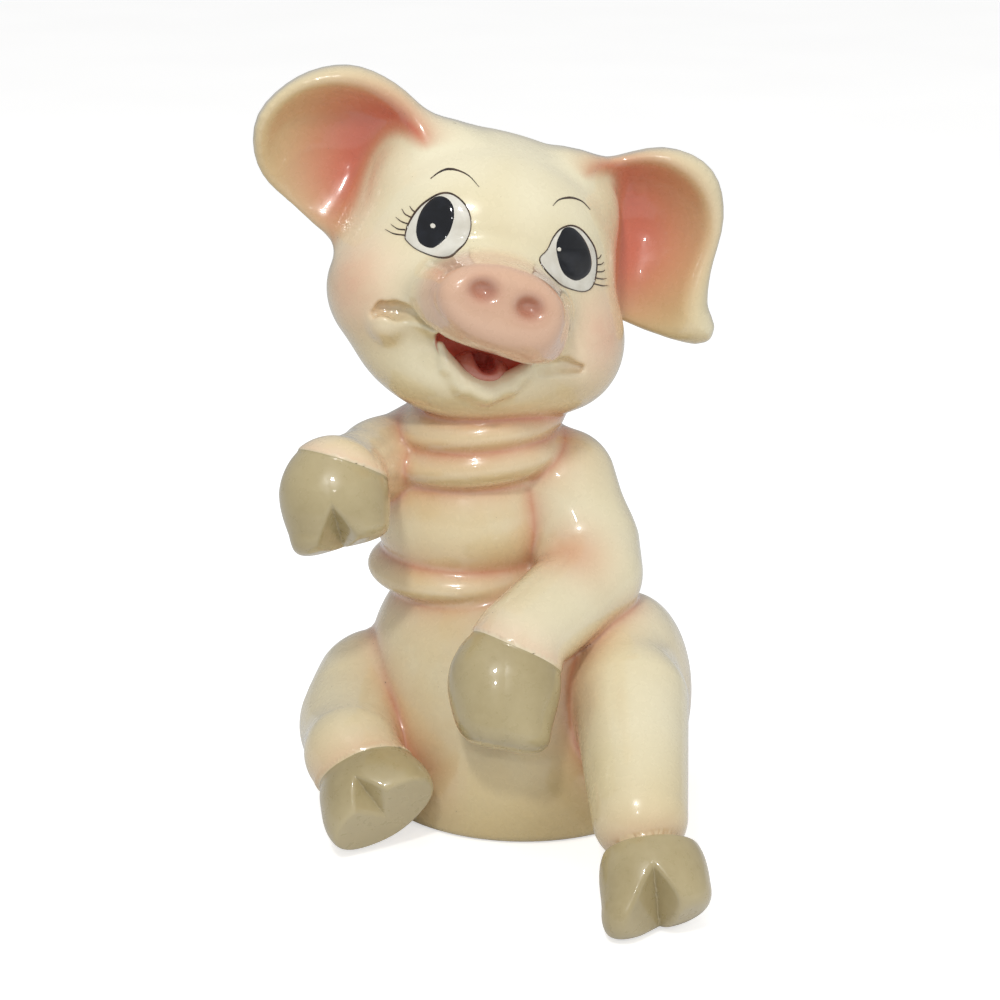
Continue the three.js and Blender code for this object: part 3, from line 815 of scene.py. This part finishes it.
def enamel_finish(name, main, second, roughness=0.2):
    """A brushed-on enamel whose film is thinner here and there."""
    f = Finish(name, specular_ior_level=0.15, **GLOSS)
    stroke = f.noise(160, 3)
    base = f.mix(f.span(stroke, 0.35, 0.75), colour(*main), colour(*second))
    f.bump(f.noise(120, 2), RIPPLE_DEPTH / 5)
    return f.done(base, f.span(stroke, 0.3, 0.7, roughness, roughness + 0.1))


def rubber_finish():
    f = Finish("stopper_rubber", specular_ior_level=0.35)
    grain = f.noise(900, 4)
    base = f.mix(f.span(grain, 0.3, 0.7), colour(38, 37, 35), colour(58, 56, 52))
    f.bump(grain, RIPPLE_DEPTH / 6)
    return f.done(base, f.span(grain, 0.3, 0.7, 0.6, 0.8))


# ---------------------------------------------------------------- clay pieces

TORSO_CELL, LIMB_CELL, EAR_CELL, HEAD_CELL = 1.5, 1.4, 1.3, 0.95
CELLS = {"torso_shell": TORSO_CELL, "head_shell": HEAD_CELL, "left_ear": EAR_CELL, "right_ear": EAR_CELL}
UNPAINTED = {"mouth": FAR}                  # values of the tints on bare inner clay, where they aren't 0


def cell_size(name):
    cell = CELLS.get(name, HEAD_CELL if name in HOOVES else LIMB_CELL)
    return cell


def edge_tint(p, name):
    """Lighter near the flat end of a hoof."""
    hoof = HOOVES[name]
    q = in_hoof(p, hoof)
    tread = hoof["sole"] - q[:, 2] - hoof["sole_slope"] * q[:, 0]
    return fade(tread, TREAD_RUN)


def clay_piece(name, material, slot):
    p, quads, outer, normals = casting_mesh(name, cell_size(name))
    shown = (normals != 0).any(1)
    layers = {}
    for key, values in tints(p[shown], normals[shown]).items():
        layers[key] = np.full(len(p), UNPAINTED.get(key, 0.0))
        layers[key][shown] = values
    if name in HOOVES:
        layers["edge"] = edge_tint(p, name)
    piece = add_mesh(name.replace("_shell", "") + "_clay", p, quads, outer, normals, layers)
    declare(piece, material, slot, name)


glaze = clay_glaze()
taupe = hoof_glaze()
for casting in CASTINGS:
    if casting in HOOVES:
        clay_piece(casting, taupe, "taupe_glaze")
    else:
        clay_piece(casting, glaze, "blush_glaze" if casting == "torso_shell" else "cream_glaze")


# ---------------------------------------------------------------- small solid forms

def form_mesh(form, lo, hi, cell):
    """Points, quads and normals of the surface of one form."""
    def fields(p):
        return form(p)[None]

    lo = vec(*lo)
    _, vertices, quads = surface_net(sample(fields, lo, vec(*hi), cell)[0])
    p, normals = settle(fields, lo + cell * vertices, np.zeros(len(vertices), bool))
    return p, quads, normals


TONGUE_CELL, TAIL_CELL = 0.6, 0.8


def tongue_groove(q):
    return limb(q, [(3, -58, -35, 5), (3, -48, -36, 5), (2, -36, -36, 4.5)], 1)


def tongue_form(q):
    lump = ellipsoid(q, (3, -36, -42), (13, 13, 7.5))
    return soft_max(soft_max(lump, -tongue_groove(q), 2), mouth_form(q) - 0.6, 1)


def tongue_finish():
    f = Finish("tongue_glaze", **GLOSS)
    mottle = f.noise(260, 3)
    # the darker red along the tongue's groove is painted shade
    share = f.math("MULTIPLY", f.tint("groove"), f.span(mottle, 0.3, 0.7, 0.8, 1.0))
    f.bump(f.noise(90, 2), RIPPLE_DEPTH / 3)
    base = f.mix(share, colour(196, 124, 104), colour(158, 54, 46))
    return f.done(base, f.span(mottle, 0.3, 0.7, 0.22, 0.32))


q, quads, normals = form_mesh(tongue_form, (-18, -62, -60), (22, -16, -28), TONGUE_CELL)
# painted shade along the tongue's groove
groove = {"groove": fade(tongue_groove(q), GROOVE_RUN)}
tongue = add_mesh("tongue_clay", from_head(q), quads, normals=normals @ HEAD_TURN.T, paint=groove)
declare(tongue, tongue_finish(), "red_glaze", "tongue")

TAIL_AT = vec(4, 66, 50)
TAIL_INNER, TAIL_OUTER, TAIL_TURNS, TAIL_STATIONS = 3.0, 14.0, 1.4, 40
TAIL_ROOT_RADIUS, TAIL_TIP_RADIUS = 4.6, 3.2


def tail_form(p):
    share = np.linspace(0, 1, TAIL_STATIONS)
    angle = share * TAIL_TURNS * 2 * math.pi
    radius = TAIL_INNER + (TAIL_OUTER - TAIL_INNER) * share
    spine = TAIL_AT + np.stack([radius * np.cos(angle), 3 - 6 * share, radius * np.sin(angle)], 1)
    tube = TAIL_TIP_RADIUS + (TAIL_ROOT_RADIUS - TAIL_TIP_RADIUS) * share
    return soft_max(limb(p, np.column_stack([spine, tube]).tolist(), 0.5), -torso_form(p) - 0.6, 0.8)


p, quads, normals = form_mesh(tail_form, TAIL_AT - 24, TAIL_AT + 24, TAIL_CELL)
tail = add_mesh("tail_clay", p, quads, normals=normals, paint=tints(p, normals))
declare(tail, glaze, "blush_glaze", "tail")

lowest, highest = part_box("stopper")
STOPPER_SEGMENTS = 96
STOPPER_RADIUS = (highest[0] - lowest[0]) / 2 / MM
STOPPER_TALL = (highest[2] - lowest[2]) / MM
STOPPER_PROFILE = [                         # radius and height in mm, from the middle of the underside
    (0, 0.9), (7, 0.9), (7.6, 0.6), (8.2, 0.1), (9, 0),
    (STOPPER_RADIUS - 1.2, 0), (STOPPER_RADIUS - 0.4, 0.3),
    (STOPPER_RADIUS, 0.9), (STOPPER_RADIUS, 1.7), (STOPPER_RADIUS - 0.4, 2.2), (STOPPER_RADIUS - 1, 2.4),
    (18.2, 2.4), (17.7, 2.8), (17.5, 4.5), (17.1, 5), (17.5, 5.5), (17, 9), (16.7, STOPPER_TALL - 0.8),
    (16, STOPPER_TALL), (13, STOPPER_TALL), (12.2, STOPPER_TALL - 0.6), (12, 5), (11, 3.9), (0, 3.9),
]


def lathe(profile, segments):
    """Points and triangles of a closed turned shape whose profile starts and ends on the axis."""
    turn = np.arange(segments) * 2 * math.pi / segments
    rings = [
        np.column_stack([radius * np.cos(turn), radius * np.sin(turn), np.full(segments, height)])
        for radius, height in profile[1:-1]
    ]
    points = np.concatenate([*rings, [(0, 0, profile[0][1]), (0, 0, profile[-1][1])]])
    return points, ring_faces(len(rings), segments)


def ring_faces(rows, count):
    """Triangles between rows of closed rings, with a fan at each end to the last two points."""
    here = np.arange(count)
    after = (here + 1) % count
    faces = []
    for row in range(rows - 1):
        a, b = row * count, (row + 1) * count
        faces.append(np.column_stack([a + here, a + after, b + after]))
        faces.append(np.column_stack([a + here, b + after, b + here]))
    first, last = rows * count, rows * count + 1
    faces.append(np.column_stack([after, here, np.full(count, first)]))
    end = (rows - 1) * count
    faces.append(np.column_stack([end + here, end + after, np.full(count, last)]))
    return np.concatenate(faces)


points, faces = lathe(STOPPER_PROFILE, STOPPER_SEGMENTS)
base = vec((lowest[0] + highest[0]) / 2 / MM, (lowest[1] + highest[1]) / 2 / MM, lowest[2] / MM)
stopper = add_mesh("stopper_moulding", points + base + ORIGIN, faces)
declare(stopper, rubber_finish(), "stopper_rubber", "stopper", body="stopper")


# ---------------------------------------------------------------- painted eyes, brows and lashes
# Outlines are (x, z) in the head's frame, seen from the front.

PATCH_SHARES = [1, 0.985, 0.95, 0.88, 0.76, 0.62, 0.46, 0.3, 0.15]
STROKE_ACROSS = np.array([-1, -0.55, 0, 0.55, 1, 0.9, -0.9])    # a stroke's section, in half widths
STROKE_HEIGHT = np.array([0.1, 0.85, 1, 0.85, 0.1])             # and its upper side, in lifts
SUNK = 0.5                                  # how far enamel reaches under the glaze
BEFORE_FACE = -100.0                        # where points start on their way back to the face
MARCHES, MARCH_SHARE = 90, 0.7              # steps of the way, and how much of the distance each covers


def on_face(flat):
    """Points of the head behind (x, z) places, with their normals, in the head's frame."""
    q = np.column_stack([flat[:, 0], np.full(len(flat), BEFORE_FACE), flat[:, 1]])
    for _ in range(MARCHES):
        q[:, 1] += MARCH_SHARE * head_form(q)
    _, slope = slopes(lambda q: head_form(q)[None], q)
    return q, slope[0] / np.linalg.norm(slope[0], axis=1)[:, None]


def patch(outline, lift, dome=0.0):
    """A closed film over the area inside an outline."""
    loop = smooth_loop(outline, 7)
    middle = loop.mean(0)
    shares = np.array(PATCH_SHARES)
    flat = np.concatenate([middle + share * (loop - middle) for share in shares] + [middle[None]])
    q, normal = on_face(flat)
    share = np.append(np.repeat(shares, len(loop)), 0)
    rise = lift * np.minimum(1, 0.35 + 6 * (1 - share)) + dome * (1 - share ** 2)
    top, bottom = q + normal * rise[:, None], q - normal * SUNK
    under, over = (side[:-1].reshape(len(shares), -1, 3) for side in (bottom, top))
    rings = np.concatenate([under[::-1], over])
    points = np.concatenate([rings.reshape(-1, 3), bottom[-1:], top[-1:]])
    return points, ring_faces(2 * len(shares), len(loop))


def ribbon(spine, half_widths, lift, closed=False):
    """A closed stroke of the brush along a line."""
    ahead, behind = np.roll(spine, -1, 0), np.roll(spine, 1, 0)
    if not closed:
        ahead[-1], behind[0] = spine[-1], spine[0]
    along = ahead - behind
    along /= np.linalg.norm(along, axis=1)[:, None]
    side = np.column_stack([along[:, 1], -along[:, 0]])
    height = np.append(STROKE_HEIGHT * lift, [-SUNK, -SUNK])
    flat = spine[:, None] + side[:, None] * (STROKE_ACROSS[:, None] * half_widths[:, None, None])
    q, normal = on_face(flat.reshape(-1, 2))
    points = q + normal * np.tile(height, len(spine))[:, None]
    count, rows = len(STROKE_ACROSS), len(spine)
    if not closed:
        ends = points[:count].mean(0), points[-count:].mean(0)
        return np.concatenate([points, ends]), ring_faces(rows, count)
    faces = ring_faces(rows + 1, count)[:-2 * count]
    return points, faces % len(points)


def open_curve(corners, per_side):
    """Points of a Catmull-Rom curve from the first corner to the last."""
    c = np.array(corners, float)
    c = np.concatenate([[2 * c[0] - c[1]], c, [2 * c[-1] - c[-2]]])
    t = (np.arange(per_side) / per_side)[:, None]
    points = []
    for before, a, b, beyond in zip(c, c[1:], c[2:], c[3:]):
        points.append(0.5 * (
            2 * a + (b - before) * t + (2 * before - 5 * a + 4 * b - beyond) * t ** 2
            + (3 * a - before - 3 * b + beyond) * t ** 3
        ))
    return np.concatenate([*points, c[-2:-1]])


def stroke(corners, start, middle, end, lift=0.3):
    spine = open_curve(corners, 6)
    share = np.linspace(0, 1, len(spine))
    return ribbon(spine, np.interp(share, [0, 0.45, 1], [start, middle, end]), lift)


def eye_outline(outline, thick, thin, heavy_side):
    """The dark line round the white, heaviest at the top and on the outer side."""
    loop = smooth_loop(outline, 6)
    direction = loop - loop.mean(0)
    direction /= np.linalg.norm(direction, axis=1)[:, None]
    weight = rising(direction @ vec(0.6 * heavy_side, 0.8), -0.5, 0.9)
    return ribbon(loop, thin + (thick - thin) * weight, 0.45, closed=True)


def disc(x, z, radius):
    turn = np.arange(8) * math.pi / 4
    return np.column_stack([x + radius * np.cos(turn), z + radius * np.sin(turn)])


EYES = {
    "right": dict(
        side=-1,
        white=[(-43.3, 5.9), (-43, 11), (-41, 17.5), (-38, 22.5), (-33.5, 27), (-29, 28.3), (-24, 26.3),
               (-20.3, 21.8), (-18.9, 16), (-20, 10.5), (-23.5, 6.4), (-27.5, 3.2), (-32, 1.6),
               (-38, 2.1), (-42, 4)],
        pupil=[(-40, 9.6), (-40, 15), (-38.6, 20.2), (-35.6, 24.6), (-32, 26.6), (-28.6, 25.6), (-26.4, 22.6),
               (-25.5, 18), (-26, 12), (-28.4, 7), (-32.2, 3.6), (-36.8, 4), (-39, 6.4)],
        painted_highlight=(-33.4, 13.4, 1.1),
        lashes=[[(-41.6, 16.8), (-42.8, 17.4), (-43.9, 18.5)], [(-42.7, 14.2), (-45.1, 14.8), (-46.5, 16.4)],
                [(-43.4, 11.2), (-45.8, 11.3), (-48.1, 12.3)], [(-43.8, 8.5), (-46.7, 7.9), (-49.4, 8.9)],
                [(-43.4, 6.3), (-47.7, 5.5), (-51.1, 6.1)]],
        brow=[(-37.8, 31.9), (-35, 35.2), (-31.7, 37.6), (-27.5, 38.3), (-22.9, 37.3), (-18.5, 34.1)],
    ),
    "left": dict(
        side=1,
        white=[(12.6, 11.6), (15.3, 16), (16.8, 21.5), (19.4, 25.6), (24, 28), (29, 27.6), (34, 24.9),
               (38.9, 20.6), (41.6, 15), (42.5, 8.6), (41.4, 4), (37.6, 1.8), (31, 1.9), (25, 3),
               (20.4, 5), (15.4, 8)],
        pupil=[(18.3, 18.5), (19, 23.2), (21.6, 26.6), (26, 27.2), (31, 24.7), (35.4, 20.6), (38.6, 15.4),
               (39.2, 10.8), (37, 7.2), (33, 5), (28.4, 5.4), (24.2, 7.4), (20.6, 12)],
        painted_highlight=(20.3, 17.3, 0.9),
        lashes=[[(41.3, 16.5), (42.7, 17.1), (43.4, 18.6)], [(42.2, 14.1), (44.5, 14.5), (45.8, 15.6)],
                [(42.8, 11.1), (46, 11.5), (47.6, 12.5)], [(42.8, 8.4), (47, 8.4), (49.5, 8.9)],
                [(42.4, 5.9), (47.7, 5.6), (51.2, 6.1)]],
        brow=[(14.4, 34.3), (17, 37.2), (21.3, 38.9), (25.2, 39.3), (29.6, 38.6), (33.9, 36.1)],
    ),
}


def enamel(name, shells, material):
    points, faces, count = [], [], 0
    for shell_points, shell_faces in shells:
        points.append(shell_points)
        faces.append(shell_faces + count)
        count += len(shell_points)
    piece = add_mesh(name, from_head(np.concatenate(points)), np.concatenate(faces))
    declare(piece, material, "cream_glaze")


white = enamel_finish("eye_white_enamel", (226, 223, 212), (212, 208, 194))
navy = enamel_finish("pupil_enamel", (12, 15, 21), (24, 28, 37), 0.12)
umber = enamel_finish("liner_enamel", (44, 32, 26), (84, 62, 46))
for side, eye in EYES.items():
    enamel(f"{side}_eye_white", [patch(eye["white"], 0.35, 0.5)], white)
    enamel(f"{side}_eye_pupil", [patch(eye["pupil"], 0.75, 0.4)], navy)
    # a white enamel dot on each pupil: a painted highlight
    enamel(f"{side}_eye_glint", [patch(disc(*eye["painted_highlight"]), 1.25)], white)
    enamel(f"{side}_eye_outline", [eye_outline(eye["white"], 0.5, 0.22, eye["side"])], umber)
    enamel(f"{side}_lashes", [stroke(lash, 0.34, 0.3, 0.1) for lash in eye["lashes"]], umber)
    enamel(f"{side}_brow", [stroke(eye["brow"], 0.12, 0.5, 0.1)], umber)


# ---------------------------------------------------------------- studio

CAMERA_TURN, CAMERA_RISE = math.radians(20), math.radians(18)
CAMERA_DISTANCE = 1000.0
AIM = vec(-10, -4, 139)
SENSOR, LENS = 36.0, 77.98

back = vec(
    math.sin(CAMERA_TURN) * math.cos(CAMERA_RISE), -math.cos(CAMERA_TURN) * math.cos(CAMERA_RISE),
    math.sin(CAMERA_RISE),
)


def placed(obj, at, look):
    """Puts a lamp or camera at a place in metres, looking towards another."""
    at, look = Vector(at), Vector(look)
    obj.matrix_world = Matrix.Translation(at) @ (look - at).to_track_quat("-Z", "Y").to_matrix().to_4x4()
    bpy.context.scene.collection.objects.link(obj)


camera = bpy.data.objects.new("camera", bpy.data.cameras.new("camera"))
camera.data.sensor_width = SENSOR
camera.data.lens = LENS
aim = (AIM - ORIGIN) * MM
placed(camera, aim + CAMERA_DISTANCE * MM * back, aim)
bpy.context.scene.camera = camera

LAMPS = {                                   # place and target in metres, width, watts
    "key": ((0.15, -1.25, 1.6), (0, 0, 0.16), 0.16, 10),
    "fill": ((1.5, -0.9, 1.1), (0, 0, 0.16), 1.3, 9),
    "top": ((-0.2, -0.1, 1.8), (0, 0, 0.1), 1.2, 7),
    "spark": ((0.3, -1.4, 1.0), (0, 0, 0.18), 0.05, 1.4),
}
WIDEST_MIRRORED = 1.0                       # metres; a wider lamp would show in the glaze as a pale square
for name, (at, look, width, watts) in LAMPS.items():
    lamp = bpy.data.objects.new(name, bpy.data.lights.new(name, "AREA"))
    lamp.data.shape = "SQUARE"
    lamp.data.size = width
    lamp.data.energy = watts
    lamp.visible_glossy = width < WIDEST_MIRRORED
    placed(lamp, at, look)

WORLD_SEEN, WORLD_LIGHT = 1.0, 0.44         # a white backdrop, and the softer light it gives
world = bpy.data.worlds.new("studio")
world.use_nodes = True
nodes, links = world.node_tree.nodes, world.node_tree.links
path = nodes.new("ShaderNodeLightPath")
strength = nodes.new("ShaderNodeMapRange")
strength.inputs["To Min"].default_value = WORLD_LIGHT
strength.inputs["To Max"].default_value = WORLD_SEEN
links.new(path.outputs["Is Camera Ray"], strength.inputs["Value"])
links.new(strength.outputs["Result"], nodes["Background"].inputs["Strength"])
nodes["Background"].inputs["Color"].default_value = colour(252, 252, 252)
bpy.context.scene.world = world
bpy.context.scene.view_settings.view_transform = "Standard"

FLOOR_HALF = 6000.0                         # millimetres
FLOOR_GLOW = 0.62                           # lifts the floor to the backdrop's white, for the camera only
corners = np.array([(-1, -1), (1, -1), (1, 1), (-1, 1)]) * FLOOR_HALF
floor = add_mesh("floor", np.column_stack([corners, np.zeros(4)]), np.array([[0, 1, 2, 3]]))
f = Finish("pale_floor")
seen = f.node("ShaderNodeLightPath").outputs["Is Camera Ray"]
f.feed(f.shader.inputs["Emission Color"], colour(252, 252, 252))
f.feed(f.shader.inputs["Emission Strength"], f.span(seen, 0, 1, 0, FLOOR_GLOW))
tone = f.mix(f.span(f.noise(3, 2), 0.3, 0.7), colour(232, 232, 231), colour(228, 228, 227))
floor.data.materials.append(f.done(tone, f.span(f.noise(30, 2), 0.3, 0.7, 0.5, 0.6)))
floor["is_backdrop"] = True

boxes = {"cad": CAD_BOX, "visual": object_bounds()}
{key: [list(map(float, corner)) for corner in box] for key, box in boxes.items()}
